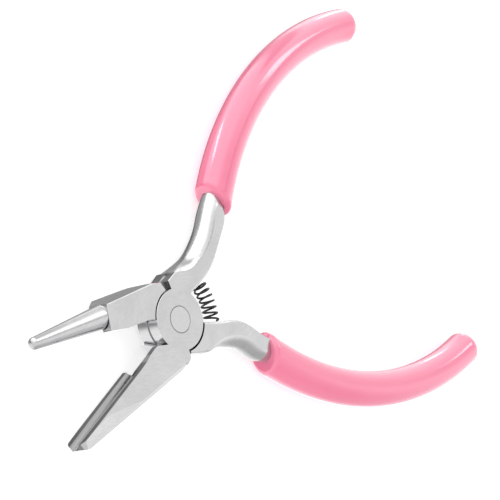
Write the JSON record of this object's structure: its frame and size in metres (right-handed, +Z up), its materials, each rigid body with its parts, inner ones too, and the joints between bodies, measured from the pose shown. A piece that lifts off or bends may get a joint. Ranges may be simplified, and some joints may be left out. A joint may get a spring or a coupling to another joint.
{
  "type": "round nose pliers",
  "caption": "Small spring-opened jewellery pliers with a round conical jaw facing a concave channelled jaw, for looping wire, and dipped soft grips.",
  "frame": {"origin": "where the pivot axis leaves the flat underside of the joint", "axes": "+Z up along the pivot axis with the pliers lying flat, +X from the pivot towards the handles so the nose points to -X, +Y towards the handle of the concave jaw's half"},
  "size_m": [0.1177, 0.0877, 0.0078],
  "materials": {
    "ground_steel": "fine satin grind, polished on the shanks and the cone",
    "rivet_steel": "ground flush with the joint",
    "spring_steel": "blackened spring wire",
    "dipped_vinyl": "smooth glossy dip"
  },
  "bodies": {
    "round_half": {"round_jaw_half": "ground_steel", "pivot_rivet": "rivet_steel", "return_spring": "spring_steel", "lower_grip": "dipped_vinyl"},
    "concave_half": {"concave_jaw_half": "ground_steel", "upper_grip": "dipped_vinyl"}
  },
  "joints": [
    {"name": "pivot", "type": "hinge", "parent": "round_half", "child": "concave_half", "pos_m": [0, 0, 0.0027], "axis": [0, 0, -1], "range_deg": [0, 32], "stiffness_Nm_per_rad": 0.4, "springref_deg": -17.19, "deforming": ["return_spring"]}
  ]
}
